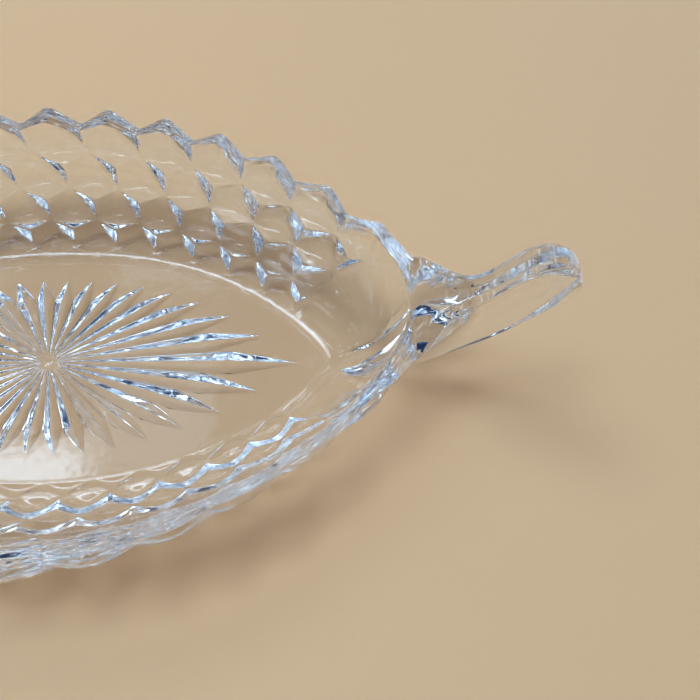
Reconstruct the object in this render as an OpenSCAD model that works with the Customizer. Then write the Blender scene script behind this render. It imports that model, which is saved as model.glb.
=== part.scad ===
// Boat-shaped relish tray in clear pressed glass: a pointed oval bowl with a
// saw-toothed rim, stacked-diamond relief on the outside of its wall, a
// many-rayed star under its floor and an upswept solid handle at each end.
// The real tray is one pressing; the modules below are its zones, and they
// meet face to face. +X runs along the tray, +Y to its back, +Z up. The
// origin is on the table, under the middle of the floor.

/* [Bowl] */
// Half width of the bowl at its rim (mm)
rim_half_w = 71.3; // [69:0.1:76]
// Height of the rim's teeth above the table (mm)
rim_h = 39.3; // [34:0.1:44]
// Half width of the foot on the table (mm)
foot_half_w = 42; // [41:0.1:46]
// Half length of the toothed part of the rim (mm)
rim_half_l = 109; // [106:0.5:110]
// Half length of the foot, without the prow (mm)
foot_half_l = 92; // [91:0.5:94]
// How round the side of the bowl is: 0 is a straight flare, 1 a quarter round
belly = 0.7; // [0.4:0.05:0.9]

/* [Wall] */
// Half width of the opening inside the rim (mm)
mouth_half_w = 64.5; // [58:0.1:65]
// Half length of the opening inside the rim (mm)
mouth_half_l = 111.9; // [108:0.1:112]
// Depth of the stacked-diamond relief, from its middle to a corner (mm)
relief = 1.7; // [0.4:0.1:2]

/* [Floor] */
// Thickness of the floor (mm)
floor_t = 4.5; // [3.5:0.1:6]
// Half width of the flat floor (mm)
floor_half_w = 39.5; // [36:0.1:40]
// Half length of the flat floor (mm)
floor_half_l = 89; // [84:0.5:90]

/* [Star] */
// Number of rays
rays = 32; // [16:4:40]
// Half length of the star (mm)
star_half_l = 77.6; // [60:0.5:80]
// Half width of the star (mm)
star_half_w = 30.5; // [24:0.5:32]
// Depth of a ray (mm)
ray_depth = 1.5; // [0.5:0.1:2]

/* [Handles] */
// Distance from the middle of the tray to the root of a handle (mm)
root_x = 113; // [113:0.5:114]
// Reach of a handle beyond its root (mm)
reach = 39.7; // [34:0.1:46]
// Half thickness of a handle (mm)
handle_half_t = 4.7; // [3.5:0.1:6]
// Height of a handle's crown above the table (mm)
crown_h = 60.6; // [54:0.1:64]

/* [Hidden] */
glass = "#c9d6e2";

half_rows = 13;     // rows of half a diamond, from the foot to the rim
teeth = 6;          // teeth from the middle of a side to its end
end_cols = 4;       // columns between the last tooth and the tip of the bowl
cols = 2 * teeth + 1 + end_cols;   // columns from the middle to one end
in_rows = 7;        // rows of the smooth inner face

// ---- side of the bowl, in section: share of the way out and of the way up
function out_at(t) = belly * sin(90 * t) + (1 - belly) * t;
function up_at(t) = belly * (1 - cos(90 * t)) + (1 - belly) * t;
function out_rate(t) = belly * 1.5708 * cos(90 * t) + 1 - belly;
function up_rate(t) = belly * 1.5708 * sin(90 * t) + 1 - belly;
// share of the way up the side at a row, in half diamonds above the foot
function row_at(r) = let (s = r / half_rows) s * (0.93 + 0.07 * s);

// ---- how far along the side a column is, in teeth; the middle is 0
function tooth_of(c) = c <= 2 * teeth ? c / 2 : teeth + 0.234;
function along(k) = 0.1835 * k - 0.0037 * k * k;

// ---- keel of the prow, and the half thickness of the glass there
function keel_z(x) = max(0, (x - root_x) * 0.79 + 5.1);
function keel_x(z) = root_x + min(0, (z - 5.1) / 0.79);
function flare(x) = 13.4 * pow(max(0, (131 - x) / 18), 1.8);
function prow_w(x, z) = handle_half_t + flare(x) * pow(min(z, 39) / 38, 2);

// ---- outer face. c is a column, t the share of the way up
function side_x(c, t) = (foot_half_l + (rim_half_l - foot_half_l) * out_at(t)) * along(tooth_of(c));
function side_y(x, t) = let (g = out_at(t),
    xe = foot_half_l + (rim_half_l - foot_half_l) * g,
    ye = 4.5 + 16.7 * g,
    w = foot_half_w + (rim_half_w - foot_half_w) * g)
    ye + (w - ye) * (1 - pow(min(1, abs(x) / xe), 2.25));
// relief of a corner: the same three heights repeat up each column, and every
// second column is three half rows out of step
function bump(c, r) = [-1, 0, 1, 0.5, 0, -0.5][((r - 9 - (c % 2 == 0 ? 0 : 3)) % 6 + 6) % 6];
function fade(c, r) = min(1, r / 4) * (c <= 2 * teeth - 1 ? 1 : c == 2 * teeth ? 0.7 : 0);
function outer_pt(c, r) = let (t = row_at(r), z = rim_h * up_at(t))
    c <= 2 * teeth + 1 ?
        let (x = side_x(c, t), y = side_y(x, t),
            slope = (side_y(x + 0.5, t) - side_y(x - 0.5, t)),
            m = sqrt(1 + slope * slope),
            a = rim_h * up_rate(t), b = (rim_half_w - foot_half_w) * out_rate(t),
            n = sqrt(a * a + b * b),
            d = relief * fade(c, r) * bump(c, r))
            [x - d * a / n * slope / m, y + d * a / n / m, max(0, z - d * b / n)]
    : let (xk = keel_x(z), yk = prow_w(root_x, z),
        e = outer_pt(2 * teeth + 1, r))
        c == 2 * teeth + 2 ? [e[0] * 0.42 + xk * 0.58, e[1] * 0.34 + yk * 0.66, z] :
        c == 2 * teeth + 3 ? [xk, yk, z] :
        c == 2 * teeth + 4 ? [xk, 0, z] : [xk, 0, z];
// the row of a corner: the two top rows rise and fall with the teeth
function row_of(c, r) = c % 2 == 0 || c > 2 * teeth ? (r == half_rows ? (c == 2 * teeth + 1 ? 12.6 : 13) : r)
    : (r == half_rows ? 12 : r == half_rows - 1 ? 11.5 : r);

// ---- inner face. h runs from 0 at the floor to 1 at the rim
function side_turn(c) = asin(pow(0.938 * along(tooth_of(c)), 1.075));
end_turn = side_turn(2 * teeth + 1);
function turn(c) = c <= 2 * teeth + 1 ? side_turn(c)
    : end_turn + (c - 2 * teeth - 1) * (90 - end_turn) / 3;
function inner_pt(c, h) = let (g = out_at(h), a = min(90, turn(c)),
    x = (floor_half_l + (mouth_half_l - floor_half_l) * g) * pow(sin(a), 2 / (2.25 - 0.1 * g)),
    y = (floor_half_w + (mouth_half_w - floor_half_w) * g) * pow(max(0, cos(a)), 2 / (1.25 + 0.4 * g)))
    [x, a >= 89.9 ? 0 : y, floor_t + (rim_h - floor_t) * up_at(h)];
function top_share(c) = c > 2 * teeth ? 0.985 : c % 2 == 0 ? 1 : 0.945;

// ---- one ring of corners around the glass at a column
function ring(c) = concat(
    [let (p = inner_pt(c, 0)) [p[0], p[1], 0]],
    [for (i = [0:in_rows]) inner_pt(c, top_share(c) * i / in_rows)],
    [for (r = [half_rows:-1:0]) outer_pt(c, row_of(c, r))]);
ring_n = 1 + (in_rows + 1) + (half_rows + 1);

// signed column: negative to the left
function side_ring(s) = [for (p = ring(min(abs(s), cols - 1))) [s < 0 ? -p[0] : p[0], p[1], p[2]]];
last = cols - 1;
rings = [for (s = [-last:last]) side_ring(s)];
ring_total = 2 * last + 1;

// diagonal of a cell on the outer face, so that the diamonds keep their edges
function leans(s, j) = let (r = half_rows - (j - (in_rows + 2)) - 1,
    q = ((r - 9) % 6 + 6) % 6, even_first = (abs(s) % 2 == 0))
    j < in_rows + 2 ? false : (q == 0 || q == 4) ? !even_first : (q == 1 || q == 3) ? even_first : false;

module wall() {
    pts = [for (q = rings) each q];
    function id(i, j) = i * ring_n + (j % ring_n);
    skin = [for (i = [0:ring_total - 2]) for (j = [0:ring_n - 1])
        let (a = id(i, j), b = id(i, j + 1), c = id(i + 1, j + 1), d = id(i + 1, j))
        each (leans(i - last, j) ? [[a, b, c], [a, c, d]] : [[a, b, d], [b, c, d]])];
    caps = [[for (j = [ring_n - 1:-1:0]) id(0, j)], [for (j = [0:ring_n - 1]) id(ring_total - 1, j)]];
    polyhedron(points = pts, faces = concat(skin, caps), convexity = 8);
}

// ---- floor outline, the same corners as the foot of the inner face
floor_quarter = [for (c = [0:last]) inner_pt(c, 0)];
floor_line = concat(
    [for (c = [0:last]) [floor_quarter[c][0], floor_quarter[c][1]]],
    [for (c = [last - 1:-1:0]) [floor_quarter[c][0], -floor_quarter[c][1]]],
    [for (c = [1:last]) [-floor_quarter[c][0], -floor_quarter[c][1]]],
    [for (c = [last - 1:-1:1]) [-floor_quarter[c][0], floor_quarter[c][1]]]);

// ---- star: each ray is a leaf-shaped groove that is deepest past its middle
// direction of a ray: the rays crowd towards the long axis
function ray_angle(i) = let (a = 360 * i / rays) atan2(sin(a), 1.37 * cos(a));
function star_r(a) = let (c = cos(a), s = sin(a))
    // distance at which |y|/w + |x/l|^2.45 = 1, by three halvings of a bracket
    star_solve(c, s, 5, star_half_l + 5, 18);
function star_solve(c, s, lo, hi, n) = let (m = (lo + hi) / 2,
    f = abs(m * s) / star_half_w + pow(abs(m * c) / star_half_l, 2.45))
    n == 0 ? m : f > 1 ? star_solve(c, s, lo, m, n - 1) : star_solve(c, s, m, hi, n - 1);
module ray(i) {
    a = ray_angle(i);
    r = star_r(a);
    w = r * 0.72 * sin(0.5 * abs(ray_angle(i + 1) - ray_angle(i)) % 180) * 0.86;
    wide = min(w, 4.4);
    rotate([0, 0, a])
        polyhedron(points = [[5, 0, -0.5], [r * 0.72, -wide, -0.5], [r, 0, -0.5], [r * 0.72, wide, -0.5],
                [5.2, 0, 0.02], [r * 0.7, 0, ray_depth], [r - 0.4, 0, 0.02],
                [r * 0.72, -wide, 0], [r * 0.72, wide, 0]],
            faces = [[0, 1, 2], [0, 2, 3],
                [0, 4, 7, 1], [1, 7, 6, 2], [2, 6, 8, 3], [3, 8, 4, 0],
                [4, 5, 7], [7, 5, 6], [6, 5, 8], [8, 5, 4]], convexity = 4);
}

// ---- handle: upright slices from the root to the tip
// height of the top edge above the root's, as a share of the rise
function rise(u) = u < 0.28 ? 0.25 * sin(90 * u / 0.28)
    : u < 0.78 ? 0.25 + 0.75 * pow(sin(180 * (u - 0.28)), 1.8)
    : 1 - 0.4 * pow((u - 0.78) / 0.22, 2.3);
root_top = rim_h + 0.1;
function top_z(u) = root_top + (crown_h - root_top) * rise(u);
function under_z(u) = u < 0.9 ? 5.1 + 32 * u + 9.5 * pow(u / 0.9, 5) * 0.9
    : let (z0 = 5.1 + 28.8 + 8.55) z0 + (top_z(1) - 1.2 - z0) * (1 - sqrt(max(0, 1 - pow((u - 0.9) / 0.1, 2))));
slices = [0, 0.06, 0.12, 0.19, 0.26, 0.33, 0.4, 0.47, 0.54, 0.6, 0.66, 0.72, 0.78, 0.83, 0.88, 0.92, 0.95, 0.975, 0.992, 1];
slice_n = 20;
function sgn_pow(v, e) = (v < 0 ? -1 : 1) * pow(abs(v), e);
function slice(u) = let (x = root_x + reach * u, z1 = top_z(u), z0 = under_z(u), zc = (z0 + z1) / 2, hh = (z1 - z0) / 2,
    end = u > 0.9 ? 0.35 + 0.65 * sqrt(max(0, 1 - pow((u - 0.9) / 0.1, 2))) : 1)
    [for (i = [0:slice_n - 1]) let (a = 360 * (i + 0.5) / slice_n,
        z = zc + hh * sgn_pow(sin(a), 0.5),
        w = (handle_half_t + flare(x) * pow(min(z, 39) / 38, 2)) * end)
        [x, w * sgn_pow(cos(a), 0.3), z]];
module handle() {
    pts = [for (u = slices) each slice(u)];
    m = len(slices);
    skin = [for (i = [0:m - 2]) for (j = [0:slice_n - 1])
        let (a = i * slice_n + j, b = i * slice_n + (j + 1) % slice_n,
            c = (i + 1) * slice_n + (j + 1) % slice_n, d = (i + 1) * slice_n + j)
        each [[a, b, c], [a, c, d]]];
    caps = [[for (j = [slice_n - 1:-1:0]) j], [for (j = [0:slice_n - 1]) (m - 1) * slice_n + j]];
    polyhedron(points = pts, faces = [for (f = concat(skin, caps)) [for (k = [len(f) - 1:-1:0]) f[k]]], convexity = 6);
}

module tray_floor() {
    color(glass, 0.6) difference() {
        linear_extrude(height = floor_t) polygon(floor_line);
        for (i = [0:rays - 1]) ray(i);
    }
}
module back_wall() { color(glass, 0.6) wall(); }
module front_wall() { color(glass, 0.6) mirror([0, 1, 0]) wall(); }
module handle_right() { color(glass, 0.6) handle(); }
module handle_left() { color(glass, 0.6) mirror([1, 0, 0]) handle(); }

tray_floor();
front_wall();
back_wall();
handle_right();
handle_left();
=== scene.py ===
import math

import bpy
import numpy as np
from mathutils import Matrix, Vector
from mathutils.geometry import delaunay_2d_cdt


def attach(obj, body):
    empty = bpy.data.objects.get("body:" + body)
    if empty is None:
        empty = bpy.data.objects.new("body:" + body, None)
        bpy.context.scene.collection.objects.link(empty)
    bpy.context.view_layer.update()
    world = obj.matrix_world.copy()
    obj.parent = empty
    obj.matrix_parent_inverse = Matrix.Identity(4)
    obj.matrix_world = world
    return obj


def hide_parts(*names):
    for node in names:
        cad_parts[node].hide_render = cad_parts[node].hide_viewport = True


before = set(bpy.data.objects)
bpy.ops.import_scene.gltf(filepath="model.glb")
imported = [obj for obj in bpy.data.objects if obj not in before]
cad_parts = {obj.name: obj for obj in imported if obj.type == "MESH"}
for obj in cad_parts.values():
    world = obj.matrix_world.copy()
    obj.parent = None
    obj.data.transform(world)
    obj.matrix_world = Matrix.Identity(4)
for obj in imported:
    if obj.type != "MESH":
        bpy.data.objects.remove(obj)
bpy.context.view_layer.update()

# ---------------------------------------------------------------- sizes, mm
RIM_W, RIM_H, FOOT_W = 71.3, 39.3, 42.0
RIM_L, FOOT_L, BELLY = 109.0, 92.0, 0.7
MOUTH_W, MOUTH_L = 64.5, 111.9
FLOOR_T, FLOOR_W, FLOOR_L = 4.5, 39.5, 89.0
RELIEF = 1.95  # from the middle level of the relief to a corner
ROUND, DISH = 0.27, 0.30  # rounding of its ridges, and swell of its faces
SEAM = 0.06  # depth of the seams, as a share of the relief
SLAB = 4.7  # half thickness of a handle
ROOT_X = 113.0

TEETH = 6
SUB = 12  # columns to half a tooth
SIDE = (2 * TEETH + 1) * SUB  # columns from the middle of a side to its last notch
FILLET, CAP = 48, 40  # columns of the fillet, and across the prow
Q = SIDE + FILLET + CAP // 2  # columns to a quarter
N = 4 * Q
HALF_ROWS, ROW_SUB = 13, 12


# ------------------------------------------------- side of the bowl, section
def out_at(t):
    return BELLY * np.sin(np.pi / 2 * t) + (1 - BELLY) * t


def up_at(t):
    return BELLY * (1 - np.cos(np.pi / 2 * t)) + (1 - BELLY) * t


def out_rate(t):
    return BELLY * np.pi / 2 * np.cos(np.pi / 2 * t) + 1 - BELLY


def up_rate(t):
    return BELLY * np.pi / 2 * np.sin(np.pi / 2 * t) + 1 - BELLY


def row_at(v):
    s = v / HALF_ROWS
    return s * (0.93 + 0.07 * s)


def tooth_of(c):
    """Teeth from the middle of the side, for a column counted in half teeth."""
    return np.where(c <= 2 * TEETH, c / 2, TEETH + 0.234 * np.minimum(c - 2 * TEETH, 1))


def along(k):
    return 0.1835 * k - 0.0037 * k * k


def side_y(x, g):
    xe = FOOT_L + (RIM_L - FOOT_L) * g
    ye = 4.5 + 16.7 * g
    w = FOOT_W + (RIM_W - FOOT_W) * g
    return ye + (w - ye) * (1 - np.minimum(1, np.abs(x) / xe) ** 2.25)


# -------------------------------------------- relief: stacked diamonds
def cube_height(U, V):
    """Height of a stack of cubes seen corner on: 1 at a near corner, 0 at a side corner, -1 at a far one.
    U counts teeth along the side, V half rows up it."""
    x = U * math.sqrt(3)
    y = (V - 11) / 2
    e = [(0, -1), (-math.sqrt(3) / 2, 0.5), (math.sqrt(3) / 2, 0.5)]
    c = np.stack([2 / 3 * (x * a + y * b) for a, b in e])
    up = np.ceil(c - 1e-9) - c
    total = np.rint(up.sum(0))
    order = np.sort(up, axis=0)
    top = np.where(total == 0, 0, np.where(total == 1, order[2] - 1, order[1] - 1))
    # a low swell in each face, highest in its middle
    f = c + top
    f = f - np.floor(f + 1e-6)
    f = np.clip(f, 0, 1)
    gap = np.minimum(f, 1 - f)
    flat = np.argmin(gap, axis=0)
    seam = np.exp(-((np.sort(gap, axis=0)[1] / 0.045) ** 2))  # 1 on an edge
    w = 4 * f * (1 - f)
    dish = np.where(flat == 0, w[1] * w[2], np.where(flat == 1, w[0] * w[2], w[0] * w[1]))
    return 3 * top + 1, dish, seam


def blurred(U, V, soft, dish):
    total = np.zeros_like(U)
    weight = 0
    for r, n, k in ((0, 1, 1.0), (0.5, 6, 0.9), (1.0, 10, 0.6)):
        for i in range(n):
            a = 2 * math.pi * (i + 0.5 * (r == 1.0)) / n
            h, d, _ = cube_height(U + soft * r * math.cos(a) / math.sqrt(3), V + 2 * soft * r * math.sin(a))
            total = total + k * (h + dish * d)
            weight += k
    return total / weight


def relief_at(U, V):
    """The same, with its ridges well rounded, its valleys crisp and a fine seam along each edge, as a mould leaves them."""
    swell = 1 + 0.16 * np.clip((6 - V) / 3, 0, 1) - 0.16 * np.clip((V - 7) / 3, 0, 1) - 0.1 * np.clip(V - 11.5, 0, 1)  # bolder low on the wall
    relief = np.minimum(blurred(U, V, 0.09, DISH), blurred(U, V, ROUND, DISH) + 0.02)
    return swell * relief - SEAM * cube_height(U, V)[2]


# ------------------------------------------------------------ handle, mm
TOP = [(113, 39.4), (116, 41.9), (120, 43.9), (124, 44.7), (128, 46.2), (132, 49.8), (136, 55.2), (139.5, 59.0),
       (143.2, 60.4), (146.6, 59.6), (149.3, 57.6), (151.2, 55.3), (152.3, 53.3), (152.6, 52.0)]
KEEL = [(113, 5.1), (117, 8.3), (121, 11.4), (125, 14.5), (129.4, 18.0), (133.2, 21.2), (136.8, 24.8), (140.2, 28.9),
        (143.2, 33.1), (146.0, 37.6), (148.3, 41.9), (150.2, 45.9), (151.8, 49.6), (152.6, 52.0)]


def smooth_curve(pts, n):
    """n points along a smooth curve through pts, closer together towards its end."""
    p = np.array(pts, float)
    m = len(p)
    s = np.linspace(0, 1, n)
    s = (1 - (1 - s) ** 1.25) * (m - 1)
    i = np.clip(np.floor(s).astype(int), 0, m - 2)
    u = (s - i)[:, None]
    a, b = p[i], p[i + 1]
    before = np.where((i > 0)[:, None], p[np.maximum(i - 1, 0)], 2 * a - b)
    after = np.where((i < m - 2)[:, None], p[np.minimum(i + 2, m - 1)], 2 * b - a)
    ta, tb = (b - before) / 2, (after - a) / 2
    return ((2 * u**3 - 3 * u**2 + 1) * a + (u**3 - 2 * u**2 + u) * ta
            + (3 * u**2 - 2 * u**3) * b + (u**3 - u**2) * tb)


def half_width(x, z):
    flare = 13.4 * np.maximum(0, (131 - x) / 18) ** 1.8
    return SLAB + flare * (np.minimum(z, 39) / 38) ** 2


def soft_corner(pts, radius):
    """A polyline with each inner corner rounded off."""
    p = np.array(pts, float)
    out = [p[:1]]
    for a, b, c in zip(p[:-2], p[1:-1], p[2:]):
        u = np.linspace(0, 1, 9)[:, None]
        s = b + (a - b) * min(1, radius / np.linalg.norm(a - b)) * 0.5
        e = b + (c - b) * min(1, radius / np.linalg.norm(c - b)) * 0.5
        out.append((1 - u) ** 2 * s + 2 * u * (1 - u) * b + u * u * e)
    return np.concatenate(out + [p[-1:]])


# right half of the handle's section, from its middle height: a bevelled crown above, a rounder keel below
CROWN = soft_corner([(0, 1), (0.52, 0.99), (0.85, 0.95), (0.975, 0.50), (1, 0)], 0.13)
KEEL_SIDE = soft_corner([(0, 1), (0.50, 0.98), (0.78, 0.88), (0.94, 0.60), (1, 0)], 0.25)


def section_y(w, zeta):
    """Half width of the handle's section at a share zeta of its half height."""
    zeta = np.asarray(zeta, float)
    up, down = np.interp(zeta, *CROWN.T), np.interp(-zeta, *KEEL_SIDE.T)
    return w * np.where(zeta > 0, up, down)


def section_z(w, y, half=CROWN):
    """The share of its half height that the section reaches at a distance y from its middle."""
    return np.interp(np.minimum(1, np.abs(y) / w), half[::-1, 1], half[::-1, 0])


def eased(t, e):
    """A ramp from 0 to 1 that starts level."""
    return (np.sqrt(t * t + e * e) - e) / (math.sqrt(1 + e * e) - e)


# ---------------------------------------------------- outer wall, a quarter
col = np.arange(Q + 1)
cc = np.minimum(col, SIDE) / SUB  # column in half teeth, up to the last notch
tau = np.abs(cc - 2 * np.rint(cc / 2))  # 0 at a tooth, 1 at a notch
soft_tau = np.where(tau < 0.5, 0.5 * eased(2 * tau, 0.28), 1 - 0.5 * eased(2 - 2 * tau, 0.14))
v_top = np.where(cc <= 2 * TEETH, HALF_ROWS - soft_tau, HALF_ROWS - 0.4 * np.minimum(1, cc - 2 * TEETH))
rows = np.arange(HALF_ROWS * ROW_SUB + 1) / ROW_SUB
R_OUT = len(rows)
CC, VV = np.meshgrid(cc, rows, indexing="ij")
VT = v_top[:, None]
V = np.where(VV > 11, 11 + (VV - 11) * (VT - 11) / 2, VV)
T = row_at(V)
G, Zw = out_at(T), RIM_H * up_at(T)
K = tooth_of(CC)
PAT_L = 80 + (RIM_L - 80) * G**1.7  # the pattern narrows faster than the bowl does
X = PAT_L * along(K)
Y = side_y(X, G)
slope = side_y(X + 0.25, G) - side_y(X - 0.25, G)
slope = slope / 0.5
m = np.sqrt(1 + slope * slope)
a = RIM_H * up_rate(T)
b = (RIM_W - FOOT_W) * out_rate(T)
n = np.sqrt(a * a + b * b)
fade = (0.55 + 0.45 * np.minimum(1, V / 2.5)) * np.clip((13 - CC) / 1.6, 0, 1) ** 0.7
D = RELIEF * fade * relief_at(CC / 2, V)
# the relief stands square to the wall, and level where it meets the foot
level = np.clip(1 - V / 3, 0, 1)
out_part = a / n + (1 - a / n) * level
down_part = b / n * (1 - level)
outer = np.stack([X - D * out_part * slope / m, Y + D * out_part / m, np.maximum(0, Zw - D * down_part)], -1)
outer[:, 0, 2] = 0
plain_z = Zw[SIDE]  # heights of the rows at the last notch


# fillet from the last notch to the handle's side, and the prow's nose below it
def root_side(zrow):
    z0, z1 = KEEL[0][1], TOP[0][1]
    zc, hh = (z0 + z1) / 2, (z1 - z0) / 2
    zeta = (zrow - zc) / hh
    return section_y(half_width(ROOT_X, zrow), zeta)


zc0, hh0 = (KEEL[0][1] + TOP[0][1]) / 2, (TOP[0][1] - KEEL[0][1]) / 2
corner = math.sin(math.pi / 4) ** 0.5
low_z, high_z = zc0 - hh0 * corner, zc0 + hh0 * corner
r_low = int(np.argmin(np.abs(plain_z - low_z)))
share = (plain_z - plain_z[r_low]) / (plain_z[-1] - plain_z[r_low])
side_z = np.where(np.arange(R_OUT) >= r_low, low_z + (high_z - low_z) * share, low_z * plain_z / plain_z[r_low])
zeta_side = (side_z - zc0) / hh0
B = np.zeros((R_OUT, 3))
B[:, 2] = side_z
B[:, 0] = ROOT_X
B[:, 1] = root_side(side_z)
foot_nose = 106.3
below = np.arange(R_OUT) < r_low
lam = side_z / low_z
B[below, 0] = (104.9 + (ROOT_X - 104.9) * lam)[below]
B[below, 1] = (3.4 + (B[r_low, 1] - 3.4) * lam)[below]
A = outer[SIDE]
tb = -1.34 * (np.minimum(side_z, 39) / 38) ** 2 - np.where(below, 0.5 * (1 - lam), 0)
TB = np.stack([np.ones(R_OUT), tb, np.zeros(R_OUT)], -1)
TB /= np.linalg.norm(TB, axis=1, keepdims=True)
for r in range(R_OUT):
    g = G[SIDE, r]
    x0, x1 = A[r, 0], max(A[r, 0], (FOOT_L + (RIM_L - FOOT_L) * g) * 0.99)
    wx = np.linspace(x0, x1, 24) if x1 > x0 + 0.3 else np.array([x0])
    wy = side_y(wx, g)
    start = np.array([wx[-1], wy[-1]])
    dy = (side_y(wx[-1], g) - side_y(wx[-1] - 0.3, g)) / 0.3
    ta = np.array([1, dy]) / math.hypot(1, dy)
    end, tb_ = B[r, :2], TB[r, :2]
    chord = np.linalg.norm(end - start)
    u = np.linspace(0, 1, 40)[1:, None]
    bend = ((2 * u**3 - 3 * u**2 + 1) * start + (u**3 - 2 * u**2 + u) * chord * ta
            + (3 * u**2 - 2 * u**3) * end + (u**3 - u**2) * chord * tb_)
    path = np.concatenate([np.stack([wx, wy], 1), bend], 0)
    s_ = np.concatenate([[0], np.cumsum(np.linalg.norm(np.diff(path, axis=0), axis=1))])
    u = np.arange(1, FILLET + 1) / FILLET
    outer[SIDE + 1:SIDE + FILLET + 1, r, 0] = np.interp(u * s_[-1], s_, path[:, 0])
    outer[SIDE + 1:SIDE + FILLET + 1, r, 1] = np.interp(u * s_[-1], s_, path[:, 1])
    outer[SIDE + 1:SIDE + FILLET + 1, r, 2] = A[r, 2] + (B[r, 2] - A[r, 2]) * (3 * u**2 - 2 * u**3)
half = CAP // 2
yB_low, yB_high = B[r_low, 1], B[-1, 1]
for i in range(1, half + 1):
    u = 1 - i / half  # 1 at the side, 0 in the middle
    y = yB_low * u
    z = zc0 - hh0 * section_z(half_width(ROOT_X, KEEL[0][1]), y, KEEL_SIDE)
    lowp = np.array([ROOT_X, y, z])
    yn = 3.4 * u
    nose = np.array([104.9 + (foot_nose - 104.9) * (1 - u**2.6) ** 0.5, yn, 0])
    for r in range(r_low + 1):
        outer[SIDE + FILLET + i, r] = nose + (lowp - nose) * lam[r]
    y = yB_high * u
    z = TOP[0][1]
    for _ in range(4):
        z = zc0 + hh0 * section_z(half_width(ROOT_X, z), y)
    outer[SIDE + FILLET + i, r_low + 1:] = (ROOT_X, y, z)

# ------------------------------------------------------ inner wall, a quarter
turn = np.where(col <= SIDE, np.degrees(np.arcsin((0.938 * along(tooth_of(cc))) ** 1.075)), 0)
end_turn = turn[SIDE]
turn = np.where(col > SIDE, end_turn + (90 - end_turn) * (col - SIDE) / (Q - SIDE), turn)


def inner_pt(c_turn, h, lift=0.0):
    g = out_at(h)
    s = np.radians(c_turn)
    x = (FLOOR_L + (MOUTH_L - FLOOR_L) * g) * np.sin(s) ** (2 / (2.25 - 0.1 * g))
    y = (FLOOR_W + (MOUTH_W - FLOOR_W) * g) * np.maximum(0, np.cos(s)) ** (2 / (1.25 + 0.4 * g))
    y = np.where(c_turn >= 89.99, 0, y)
    return np.stack([x, y, FLOOR_T + (RIM_H - FLOOR_T) * up_at(h) + lift], -1)


top_h = np.where(col <= SIDE, np.where(cc <= 2 * TEETH, 1 - 0.055 * soft_tau, 1 - 0.015 * np.minimum(1, cc - 2 * TEETH)), 0.985)
hs = np.concatenate([[0, 0.0103, 0.0207, 0.045], np.linspace(0.075, 1, 34)])
inner = np.stack([inner_pt(turn, top_h * h) for h in hs], 1)
# a fillet of about 5 mm radius where the wall meets the floor
for i, lift in enumerate((0.052, 0.0095)):
    inner[:, i, 2] += lift


# ------------------------------------------------------------- rim, a quarter
O, I = outer[:, -1], inner[:, -1]
rim = []
for s in (0.012, 0.04, 0.08, 0.13, 0.19, 0.25, 0.31, 0.37, 0.43, 0.5, 0.57, 0.63, 0.69, 0.75, 0.81, 0.87, 0.92, 0.96, 0.988):
    p = O + (I - O) * s
    # rounded over, with a faint lengthwise wave from the polishing flame
    edge = (1 - abs(2 * s - 1) ** 5) ** 0.5 * (1 + 0.22 * math.cos(5 * math.pi * s))
    p[:, 2] += 0.6 * edge * np.where(col > SIDE + FILLET, 0.15, 1)
    rim.append(p)
rim = np.stack(rim, 1)

# -------------------------------------------------------- floor, a quarter
line = inner[:, 0]
along_line = np.gradient(line[:, :2], axis=0)
along_line[0], along_line[-1] = (1, 0), (0, -1)
reach_of = np.abs(line[:, 0] * along_line[:, 1] - line[:, 1] * along_line[:, 0]) / np.hypot(along_line[:, 0], along_line[:, 1])
inward = 1 / np.maximum(reach_of, 20)
rings = [(1 - 0.36 * inward, 0.013), (1 - 0.72 * inward, 0)] + [(np.full(Q + 1, f), 0) for f in (0.955, 0.9, 0.75, 0.5, 0.25)]
top = np.stack([np.concatenate([line[:, :2] * f[:, None], np.full((Q + 1, 1), FLOOR_T + lift)], 1) for f, lift in rings[::-1]], 1)

# ---------------------------------------------------- underside with its star
RAYS = 32
PER = N // RAYS
STAR_L, STAR_W = 77.6, 30.5


def ray_angle(i):
    a = 2 * np.pi * np.asarray(i, float) / RAYS
    return np.arctan2(np.sin(a), 1.37 * np.cos(a))


def star_radius(phi):
    c, s = np.abs(np.cos(phi)), np.abs(np.sin(phi))
    lo, hi = np.full_like(c, 5.0), np.full_like(c, STAR_L + 5)
    for _ in range(40):
        mid = (lo + hi) / 2
        over = mid * s / STAR_W + (mid * c / STAR_L) ** 2.45 > 1
        lo, hi = np.where(over, lo, mid), np.where(over, mid, hi)
    return lo


ring_m = np.arange(Q + 1)  # 0 at the right end, Q at the back
ray = np.floor((ring_m + PER // 2) / PER)
step = (ring_m + PER // 2) % PER - PER // 2
here = ray_angle(ray)
half_sector = np.abs(np.where(step >= 0, ray_angle(ray + 1) - here, here - ray_angle(ray - 1))) / 2
LEAF = 10
ROWS_STAR = [1.0, 0.985, 0.965, 0.94, 0.91, 0.88, 0.85, 0.82, 0.79, 0.765, 0.74, 0.71, 0.67, 0.62, 0.57, 0.52, 0.47,
             0.42, 0.37, 0.32, 0.27, 0.22, 0.18, 0.14, 0.1, 0.07, 0.045]
WIDEST, STEEP, DEEPEST = 0.74, 0.60, 2.7
tip_here = star_radius(here)
tip_next = np.where(step >= 0, star_radius(ray_angle(ray + 1)), star_radius(ray_angle(ray - 1)))
k = np.abs(step)
v = np.minimum(1, k / LEAF)
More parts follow.
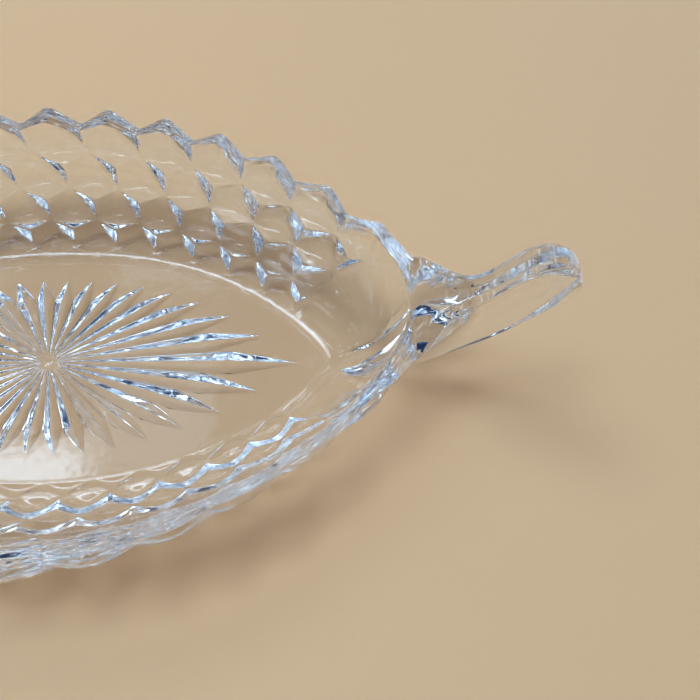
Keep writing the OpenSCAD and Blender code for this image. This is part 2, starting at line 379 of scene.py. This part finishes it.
# straight sides, a slightly rounded valley
shape = np.where(v >= 1, 0, np.maximum(0, 1 - np.sqrt(v * v + 0.0016) + 0.04 * v))
star = []
for rho in ROWS_STAR:
    # each ray is a straight leaf about its own axis, with the flat floor between its neighbours' tips
    w = min(rho, WIDEST) * tip_here * np.tan(half_sector) * 0.95
    w = np.maximum(0.04, w * (max(0.0, 1 - rho) / (1 - WIDEST)) ** 0.8) if rho > WIDEST else w
    ux, uy = np.cos(here), np.sin(here)
    t = w * v * np.sign(step)
    px, py = rho * tip_here * ux - t * uy, rho * tip_here * uy + t * ux
    mid = here + half_sector * np.sign(step)
    edge_r = rho * (tip_here + tip_next) / 2
    share = np.maximum(0, (k - LEAF) / (PER // 2 - LEAF))
    px, py = px + (edge_r * np.cos(mid) - px) * share, py + (edge_r * np.sin(mid) - py) * share
    plain = np.clip((rho * tip_here - 1.2) / 3, 0, 1)  # the middle is left plain
    deep = np.minimum(DEEPEST, STEEP * w) * plain
    star.append(np.stack([px, py, deep * shape], -1))
star = np.stack(star, 1)[::-1]  # now indexed like col
# a narrow flat border inside the foot's edge
foot = outer[:, 0]
wide_step = 6
ahead = np.array([foot[min(i + wide_step, Q)] for i in range(Q + 1)])
behind = np.array([foot[i - wide_step] if i >= wide_step else foot[wide_step - i] * (-1, 1, 1) for i in range(Q + 1)])
behind[-wide_step:] = foot[-1 - wide_step:-1]
ahead[-wide_step:] = [foot[2 * Q - i - wide_step] * (1, -1, 1) for i in range(Q + 1 - wide_step, Q + 1)]
run = ahead - behind
run = run / np.linalg.norm(run, axis=1, keepdims=True)
border = foot + 1.3 * np.stack([run[:, 1], -run[:, 0], 0 * run[:, 0]], -1)
border[0, 0], border[-1, 1] = 0, 0

# the order of a column: floor, inner wall, rim, outer wall downwards, underside
quarter = np.concatenate([top, inner, rim[:, ::-1], outer[:, ::-1], border[:, None], star], 1)
r_rim = top.shape[1] + inner.shape[1] + rim.shape[1]  # the rim's outer edge
r_hole = r_rim + (R_OUT - 1 - r_low)  # the keel's row
r_foot = r_rim + R_OUT - 1  # the row on the table
R = quarter.shape[1]

ring = np.zeros((N, R, 3))
for k in range(N):
    qd, j = divmod(k, Q)
    c = Q - j if qd % 2 == 0 else j
    sx = 1 if qd in (0, 3) else -1
    sy = 1 if qd in (0, 1) else -1
    ring[k] = quarter[c] * (sx, sy, 1)

verts = [ring.reshape(-1, 3)]
count = N * R
ids = np.arange(N * R).reshape(N, R)
faces = []


def quads(a, b, c, d):
    faces.append(np.stack([x.ravel() for x in (a, b, c, d)], 1))


nxt = np.roll(ids, -1, axis=0)
h = CAP // 2
near_right = (np.arange(N) < h) | (np.arange(N) >= N - h)
near_left = (np.arange(N) >= 2 * Q - h) & (np.arange(N) < 2 * Q + h)
keep = np.ones((N, R - 1), bool)
keep[near_right | near_left, r_rim:r_hole] = False
keep[:, r_foot + 1] = False
a_, b_, c_, d_ = ids[:, :-1][keep], nxt[:, :-1][keep], nxt[:, 1:][keep], ids[:, 1:][keep]
quads(a_, b_, c_, d_)

# the flat base between the border and the star
flat_ids = np.concatenate([ids[:, r_foot + 1], ids[:, r_foot + 2]])
flat_xy = ring.reshape(-1, 3)[flat_ids][:, :2]
loops = [(i, (i + 1) % N) for i in range(N)] + [(N + i, N + (i + 1) % N) for i in range(N)]
v2, _, f2, orig, _, _ = delaunay_2d_cdt([Vector(p) for p in flat_xy], loops, [], 1, 1e-7)
back = np.array([o[0] if o else -1 for o in orig])
tri2 = np.array([f for f in f2 if len(f) == 3])
tri2 = back[tri2]
mid2 = flat_xy[tri2].mean(1)
ang = np.arctan2(mid2[:, 1], mid2[:, 0])
reach_ = star_radius(ang)
from_centre = np.hypot(mid2[:, 0], mid2[:, 1])
in_star = (tri2 >= N).all(1) & (from_centre < reach_ * 1.02)
star_loop = flat_xy[N:]
star_next = np.roll(star_loop, -1, axis=0)
# near the rays' tips the radius doesn't settle it, so the crossings of the star's edge are counted
for t in np.where(in_star & (from_centre > reach_ * 0.9))[0]:
    p = mid2[t]
    over = (star_loop[:, 1] > p[1]) != (star_next[:, 1] > p[1])
    a, b = star_loop[over], star_next[over]
    hits = a[:, 0] + (p[1] - a[:, 1]) / (b[:, 1] - a[:, 1]) * (b[:, 0] - a[:, 0]) > p[0]
    in_star[t] = hits.sum() % 2 == 1
tri2 = tri2[~in_star]
# anticlockwise seen from above is inside out for an underside, as is every face until they are turned
e1, e2 = flat_xy[tri2[:, 1]] - flat_xy[tri2[:, 0]], flat_xy[tri2[:, 2]] - flat_xy[tri2[:, 0]]
clockwise = e1[:, 0] * e2[:, 1] - e1[:, 1] * e2[:, 0] < 0
tri2[clockwise] = tri2[clockwise][:, ::-1]
base_tris = flat_ids[tri2]

# both centres
centre_top, centre_low = count, count + 1
verts.append(np.array([[0, 0, FLOOR_T], [0, 0, 0.25]]))
count += 2
tris = [np.stack([np.full(N, centre_top), nxt[:, 0], ids[:, 0]], 1), np.stack([np.full(N, centre_low), ids[:, -1], nxt[:, -1]], 1), base_tris]

# the handles: closed sections strung along the keel and the crown
SLICES = 84
crown, keel = smooth_curve(TOP, SLICES), smooth_curve(KEEL, SLICES)


def section(i):
    """Side heights from the keel up, then the top and the underside: full closed loop, in the hole's order."""
    T_, K_ = crown[i], keel[i]
    s = i / (SLICES - 1)
    e = max(0.0, min(1.0, (s - 0.74) / 0.26))
    end = max(0.0, 1 - e**2.6) ** 0.5
    mid, arm = (T_ + K_) / 2, (T_ - K_) / 2

    def at(zeta):
        return mid + arm * zeta

    zs = zeta_side[r_low:]
    pos = np.array([at(z) for z in zs])
    w = half_width(pos[:, 0], pos[:, 1]) * end
    side = np.stack([pos[:, 0], section_y(w, zs), pos[:, 1]], -1)
    out = []
    for edge, sgn in ((side[-1, 1], 1), (side[0, 1], -1)):
        pts = []
        for j in range(1, CAP):
            y = edge * (1 - 2 * j / CAP)
            zeta = 1.0
            for _ in range(4):
                p = at(sgn * zeta)
                zeta = float(section_z(half_width(p[0], p[1]) * end + 1e-6, abs(y), CROWN if sgn > 0 else KEEL_SIDE))
            p = at(sgn * zeta)
            pts.append((p[0], y, p[1]))
        out.append(np.array(pts))
    other = side * (1, -1, 1)
    return np.concatenate([side, out[0], other[::-1], out[1][::-1]], 0)


for sx, first in ((1, 0), (-1, 2 * Q)):
    # hole's rim in the ring grid, in the section's order: the +Y side upwards, the top, the -Y side, the keel
    kp, kn = (first + h) % N, (first - h) % N
    if sx < 0:
        kp, kn = kn, kp
    across = [(kp - sx * j) % N for j in range(CAP + 1)]
    loop = [ids[kp, r] for r in range(r_hole, r_rim - 1, -1)]
    loop += [ids[k, r_rim] for k in across[1:-1]]
    loop += [ids[kn, r] for r in range(r_rim, r_hole + 1)]
    loop += [ids[k, r_hole] for k in across[::-1][1:-1]]
    prev = np.array(loop)
    size = len(prev)
    for i in range(1, SLICES - 1):
        pts = section(i) * (sx, 1, 1)
        now = np.arange(count, count + size)
        verts.append(pts)
        count += size
        p2, n2 = np.roll(prev, -1), np.roll(now, -1)
        if sx > 0:
            quads(prev, now, n2, p2)
        else:
            quads(prev, p2, n2, now)
        prev = now
    verts.append(np.array([[sx * crown[-1][0], 0, crown[-1][1]]]))
    tip = count
    count += 1
    p2 = np.roll(prev, -1)
    tris.append(np.stack([prev, np.full(size, tip), p2], 1) if sx > 0 else np.stack([prev, p2, np.full(size, tip)], 1))

co = np.concatenate(verts, 0) * 0.001
quad = np.concatenate(faces, 0)
tri = np.concatenate(tris, 0)
used = np.zeros(len(co), bool)
used[quad.ravel()] = True
used[tri.ravel()] = True
index = np.cumsum(used) - 1
co, quad, tri = co[used], index[quad][:, ::-1], index[tri][:, ::-1]


def build(name, co, quad, tri):
    me = bpy.data.meshes.new(name)
    me.vertices.add(len(co))
    me.vertices.foreach_set("co", co.astype(np.float32).ravel())
    me.loops.add(4 * len(quad) + 3 * len(tri))
    me.loops.foreach_set("vertex_index", np.concatenate([quad.ravel(), tri.ravel()]).astype(np.int32))
    me.polygons.add(len(quad) + len(tri))
    starts = np.concatenate([np.arange(len(quad)) * 4, 4 * len(quad) + 3 * np.arange(len(tri))])
    me.polygons.foreach_set("loop_start", starts.astype(np.int32))
    me.update(calc_edges=True)
    me.validate()
    me.polygons.foreach_set("use_smooth", np.ones(len(me.polygons), bool))
    me.set_sharp_from_angle(angle=math.radians(38))
    ob = bpy.data.objects.new(name, me)
    bpy.context.scene.collection.objects.link(ob)
    return ob


tray = build("relish_tray_glass", co, quad, tri)


# ---------------------------------------------------------------- materials
def node(nt, kind, **inputs):
    n = nt.nodes.new(kind)
    for k, v in inputs.items():
        n.inputs[k.replace("_", " ")].default_value = v
    return n


def glass_material():
    mat = bpy.data.materials.new("pressed_glass")
    mat.use_nodes = True
    nt = mat.node_tree
    nt.nodes.clear()
    out = nt.nodes.new("ShaderNodeOutputMaterial")
    p = nt.nodes.new("ShaderNodeBsdfPrincipled")
    p.inputs["IOR"].default_value = 1.51
    p.inputs["Transmission Weight"].default_value = 1.0
    co_ = nt.nodes.new("ShaderNodeTexCoord")
    # colour: clear, with the faintest cool and warm drift through the pressing
    drift = node(nt, "ShaderNodeTexNoise", Scale=18.0, Detail=2.0)
    nt.links.new(co_.outputs["Object"], drift.inputs["Vector"])
    ramp = nt.nodes.new("ShaderNodeValToRGB")
    ramp.color_ramp.elements[0].position = 0.3
    ramp.color_ramp.elements[0].color = (0.955, 0.975, 0.99, 1)
    ramp.color_ramp.elements[1].position = 0.7
    ramp.color_ramp.elements[1].color = (0.985, 0.99, 0.985, 1)
    nt.links.new(drift.outputs["Fac"], ramp.inputs["Fac"])
    nt.links.new(ramp.outputs["Color"], p.inputs["Base Color"])
    # roughness: fire-polished, a little worn in fine patches
    wear = node(nt, "ShaderNodeTexNoise", Scale=240.0, Detail=4.0)
    nt.links.new(co_.outputs["Object"], wear.inputs["Vector"])
    worn = nt.nodes.new("ShaderNodeMapRange")
    worn.inputs["From Min"].default_value = 0.45
    worn.inputs["From Max"].default_value = 0.8
    worn.inputs["To Min"].default_value = 0.0
    worn.inputs["To Max"].default_value = 0.014
    nt.links.new(wear.outputs["Fac"], worn.inputs["Value"])
    nt.links.new(worn.outputs["Result"], p.inputs["Roughness"])
    # bump: the chill ripple that a metal mould leaves
    ripple = node(nt, "ShaderNodeTexNoise", Scale=210.0, Detail=1.5)
    nt.links.new(co_.outputs["Object"], ripple.inputs["Vector"])
    bump = node(nt, "ShaderNodeBump", Strength=0.10, Distance=0.0006)
    nt.links.new(ripple.outputs["Fac"], bump.inputs["Height"])
    nt.links.new(bump.outputs["Normal"], p.inputs["Normal"])
    # lamps reach what is under the glass: shadow and diffuse rays pass it as a see-through colour, which paints the
    # shade it casts
    path = nt.nodes.new("ShaderNodeLightPath")
    either = nt.nodes.new("ShaderNodeMath")
    either.operation = "MAXIMUM"
    nt.links.new(path.outputs["Is Shadow Ray"], either.inputs[0])
    nt.links.new(path.outputs["Is Diffuse Ray"], either.inputs[1])
    clear = nt.nodes.new("ShaderNodeBsdfTransparent")
    # painted shade: the see-through colour for lamps turns dark brown where the glass is seen edge on, as a lamp sees
    # the flanks of the relief
    edge_on = node(nt, "ShaderNodeLayerWeight", Blend=0.5)
    less = nt.nodes.new("ShaderNodeMapRange")
    less.interpolation_type = "SMOOTHSTEP"
    less.inputs["From Min"].default_value = 0.22
    less.inputs["From Max"].default_value = 0.65
    nt.links.new(edge_on.outputs["Facing"], less.inputs["Value"])
    # painted shade set by place: weaker towards the bowl's ends, stronger again at the handles
    place = nt.nodes.new("ShaderNodeSeparateXYZ")
    nt.links.new(co_.outputs["Object"], place.inputs[0])
    out_x = nt.nodes.new("ShaderNodeMath")
    out_x.operation = "ABSOLUTE"
    nt.links.new(place.outputs["X"], out_x.inputs[0])
    prow = nt.nodes.new("ShaderNodeMapRange")
    prow.interpolation_type = "SMOOTHSTEP"
    for k_, v_ in (("From Min", 0.064), ("From Max", 0.096), ("To Min", 1.0), ("To Max", 0.5)):
        prow.inputs[k_].default_value = v_
    nt.links.new(out_x.outputs[0], prow.inputs["Value"])
    tip = nt.nodes.new("ShaderNodeMapRange")
    tip.interpolation_type = "SMOOTHSTEP"
    for k_, v_ in (("From Min", 0.112), ("From Max", 0.124), ("To Min", 0.0), ("To Max", 0.35)):
        tip.inputs[k_].default_value = v_
    nt.links.new(out_x.outputs[0], tip.inputs["Value"])
    painted_shade_by_place = nt.nodes.new("ShaderNodeMath")
    painted_shade_by_place.operation = "ADD"
    nt.links.new(prow.outputs["Result"], painted_shade_by_place.inputs[0])
    nt.links.new(tip.outputs["Result"], painted_shade_by_place.inputs[1])
    # how much painted shadow colour each point of the glass passes on to the table
    painted_shade_share = nt.nodes.new("ShaderNodeMath")
    painted_shade_share.operation = "MULTIPLY"
    nt.links.new(less.outputs["Result"], painted_shade_share.inputs[0])
    nt.links.new(painted_shade_by_place.outputs[0], painted_shade_share.inputs[1])
    # painted shadow colour: near clear where the glass faces the lamp, dark brown where it is edge on
    painted_shadow_tint = nt.nodes.new("ShaderNodeMix")
    painted_shadow_tint.data_type = "RGBA"
    painted_shadow_tint.inputs[6].default_value = (0.975, 0.968, 0.965, 1)
    painted_shadow_tint.inputs[7].default_value = (0.35, 0.25, 0.17, 1)
    nt.links.new(painted_shade_share.outputs[0], painted_shadow_tint.inputs[0])
    nt.links.new(painted_shadow_tint.outputs[2], clear.inputs["Color"])
    mix = nt.nodes.new("ShaderNodeMixShader")
    nt.links.new(either.outputs[0], mix.inputs["Fac"])
    nt.links.new(p.outputs["BSDF"], mix.inputs[1])
    nt.links.new(clear.outputs["BSDF"], mix.inputs[2])
    nt.links.new(mix.outputs["Shader"], out.inputs["Surface"])
    return mat


def floor_material():
    mat = bpy.data.materials.new("pale_floor")
    mat.use_nodes = True
    nt = mat.node_tree
    p = nt.nodes["Principled BSDF"]
    p.inputs["Roughness"].default_value = 0.6
    p.inputs["Base Color"].default_value = (0.59, 0.44, 0.288, 1)
    return mat


tray.data.materials.append(glass_material())
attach(tray, "root")
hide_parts("tray_floor", "front_wall", "back_wall", "handle_right", "handle_left")

# -------------------------------------------------------------------- stage
fm = bpy.data.meshes.new("floor")
fm.from_pydata([(-3, -3, 0), (3, -3, 0), (3, 3, 0), (-3, 3, 0)], [], [(0, 1, 2, 3)])
floor = bpy.data.objects.new("floor", fm)
floor.location = (0, 0, -0.0003)
bpy.context.scene.collection.objects.link(floor)
fm.materials.append(floor_material())


def area(name, loc, target, size, power, color, size_y=None):
    ld = bpy.data.lights.new(name, "AREA")
    ld.shape = "RECTANGLE"
    ld.size = size
    ld.size_y = size_y or size
    ld.energy = power
    ld.color = color
    ob = bpy.data.objects.new(name, ld)
    ob.location = loc
    d = Vector(target) - Vector(loc)
    ob.rotation_euler = d.to_track_quat("-Z", "Y").to_euler()
    bpy.context.scene.collection.objects.link(ob)
    return ob


area("window", (-0.9, 1.1, 2.1), (0, 0, 0), 0.8, 19, (0.97, 0.98, 1.0), 0.7)
area("overhead", (-0.55, 0.15, 2.2), (0, 0, 0), 0.8, 18, (1.0, 0.985, 0.96), 0.5)

# their own images would be hard white patches in the glass, so they only light
for name in ("window", "overhead"):
    lamp = bpy.data.objects[name]
    lamp.visible_glossy = lamp.visible_transmission = False

world = bpy.data.worlds.new("studio")
bpy.context.scene.world = world
world.use_nodes = True
wt = world.node_tree
wt.nodes.clear()
wo = wt.nodes.new("ShaderNodeOutputWorld")
bg = wt.nodes.new("ShaderNodeBackground")
tc = wt.nodes.new("ShaderNodeTexCoord")
sep = wt.nodes.new("ShaderNodeSeparateXYZ")
wt.links.new(tc.outputs["Generated"], sep.inputs[0])
wt.links.new(bg.outputs[0], wo.inputs[0])


# soft panels round the room, brighter on the window's side, with dark gaps that the glass picks up
def maths(op, a, b=None, c=None):
    n = wt.nodes.new("ShaderNodeMath")
    n.operation = op
    for i, v in enumerate((a, b, c)):
        if v is None:
            continue
        if isinstance(v, (int, float)):
            n.inputs[i].default_value = v
        else:
            wt.links.new(v, n.inputs[i])
    return n.outputs[0]


def stretch(v, lo, hi, a, b):
    n = wt.nodes.new("ShaderNodeMapRange")
    n.interpolation_type = "SMOOTHSTEP"
    for k, x in (("From Min", lo), ("From Max", hi), ("To Min", a), ("To Max", b)):
        n.inputs[k].default_value = x
    wt.links.new(v, n.inputs["Value"])
    return n.outputs["Result"]


def box_of(u, u0, u1, v, v0, v1, soft):
    """1 inside a soft-edged rectangle, 0 outside it."""
    out = None
    for value, lo, hi in ((u, u0, u1), (v, v0, v1)):
        for x in (stretch(value, lo - soft, lo + soft, 0, 1), stretch(value, hi - soft, hi + soft, 1, 0)):
            out = x if out is None else maths("MULTIPLY", out, x)
    return out


az = maths("ARCTAN2", sep.outputs["Y"], sep.outputs["X"])
panels = stretch(maths("SINE", maths("MULTIPLY_ADD", az, 7.0, 0.6)), -0.15, 0.35, 0.0, 1.0)
slats = stretch(maths("SINE", maths("MULTIPLY_ADD", az, 23.0, 0.3)), -0.35, 0.25, 0.06, 1.0)
shelves = stretch(maths("SINE", maths("MULTIPLY_ADD", sep.outputs["Z"], 38.0, 1.0)), -0.3, 0.3, 0.05, 1.0)
panels = maths("MULTIPLY", panels, maths("MULTIPLY", slats, shelves))
high = stretch(sep.outputs["Z"], 0.05, 0.16, 0.0, 1.0)
low = stretch(sep.outputs["Z"], 0.50, 0.58, 1.0, 0.0)
band = maths("MULTIPLY", high, low)
window_side = wt.nodes.new("ShaderNodeVectorMath")
window_side.operation = "DOT_PRODUCT"
window_side.inputs[1].default_value = (-0.5, 0.86, 0)
wt.links.new(tc.outputs["Generated"], window_side.inputs[0])
side = stretch(window_side.outputs["Value"], -0.7, 0.8, 1.5, 3.6)
lit = maths("MULTIPLY", maths("MULTIPLY", band, panels), side)
# a skylight overhead and a small window high at the back
height = maths("MAXIMUM", sep.outputs["Z"], 0.05)
across, back = maths("DIVIDE", sep.outputs["X"], height), maths("DIVIDE", sep.outputs["Y"], height)
beams = stretch(maths("SINE", maths("MULTIPLY_ADD", across, 15.0, 0.4)), -0.25, 0.25, 0.03, 1.0)
joists = stretch(maths("SINE", maths("MULTIPLY_ADD", back, 17.0, 0.9)), -0.75, -0.35, 0.1, 1.0)
ceiling = maths("MULTIPLY", stretch(sep.outputs["Z"], 0.58, 0.85, 0.0, 0.85), maths("MULTIPLY", beams, joists))
lit = maths("ADD", lit, ceiling)
skylight = maths("MAXIMUM", box_of(across, -0.75, 0.20, back, -0.02, 0.22, 0.03),
                 box_of(across, -0.85, -0.44, back, 0.0, 0.34, 0.04))
brightest = box_of(across, -0.75, 0.20, back, 0.0, 0.11, 0.02)
# a blind straight overhead, so that the floor plate shows its star from above
blind = stretch(box_of(across, -0.13, 0.13, back, -0.05, 0.17, 0.02), 0.0, 1.0, 1.0, 0.12)
skylight, brightest = maths("MULTIPLY", skylight, blind), maths("MULTIPLY", brightest, blind)
small = box_of(az, math.radians(65), math.radians(76), sep.outputs["Z"], 0.61, 0.72, 0.01)
lit = maths("ADD", lit, maths("MULTIPLY", skylight, 5.0))
lit = maths("ADD", lit, maths("MULTIPLY", brightest, 6.0))
lit = maths("ADD", lit, maths("MULTIPLY", small, 10.0))
lamp_box = maths("MAXIMUM", box_of(across, 0.30, 0.55, back, -0.15, 0.45, 0.03),
                 box_of(across, -0.35, 0.20, back, -0.62, -0.42, 0.03))
strips = stretch(maths("SINE", maths("MULTIPLY", back, 42.0)), -0.2, 0.3, 0.0, 3.5)
lit = maths("ADD", lit, maths("MULTIPLY", lamp_box, strips))
sky = wt.nodes.new("ShaderNodeMix")
sky.data_type = "RGBA"
sky.inputs[6].default_value = (0.028, 0.045, 0.095, 1)
sky.inputs[7].default_value = (0.50, 0.66, 0.86, 1)
sky.clamp_factor = False
wt.links.new(lit, sky.inputs[0])
# a pale backdrop stands all round, low down, and is all that the camera sees past the floor
backdrop = wt.nodes.new("ShaderNodeMix")
backdrop.data_type = "RGBA"
backdrop.inputs[6].default_value = (0.43, 0.405, 0.37, 1)
backdrop.inputs[7].default_value = (0.56, 0.56, 0.56, 1)
wt.links.new(stretch(sep.outputs["Z"], 0.0, 0.5, 0.0, 1.0), backdrop.inputs[0])
seen = wt.nodes.new("ShaderNodeLightPath")
whole = wt.nodes.new("ShaderNodeMix")
whole.data_type = "RGBA"
whole.clamp_factor = True
wt.links.new(maths("MAXIMUM", seen.outputs["Is Camera Ray"], stretch(sep.outputs["Z"], -0.01, 0.03, 1.0, 0.0)), whole.inputs[0])
wt.links.new(sky.outputs[2], whole.inputs[6])
wt.links.new(backdrop.outputs[2], whole.inputs[7])
wt.links.new(whole.outputs[2], bg.inputs["Color"])
# what the room gives the table is turned down, so that the window shapes the shadows
bg_strength = stretch(seen.outputs["Is Diffuse Ray"], 0.0, 1.0, 1.0, 0.40)
wt.links.new(bg_strength, bg.inputs["Strength"])

# ------------------------------------------------------------------- camera
cam_data = bpy.data.cameras.new("camera")
cam_data.sensor_width = 36
cam_data.lens = 626 * 36 / 700
cam = bpy.data.objects.new("camera", cam_data)
cam.location = (0.0960, -0.0875, 0.1805)
cam.rotation_euler = (math.radians(27.26), 0, 0.0022)
cam_data.clip_start = 0.005
bpy.context.scene.collection.objects.link(cam)
bpy.context.scene.camera = cam

bpy.context.scene.view_settings.view_transform = "Standard"
bpy.context.scene.view_settings.look = "High Contrast"
cy = bpy.context.scene.cycles
cy.max_bounces, cy.glossy_bounces, cy.transmission_bounces = 28, 20, 28
bpy.context.view_layer.update()
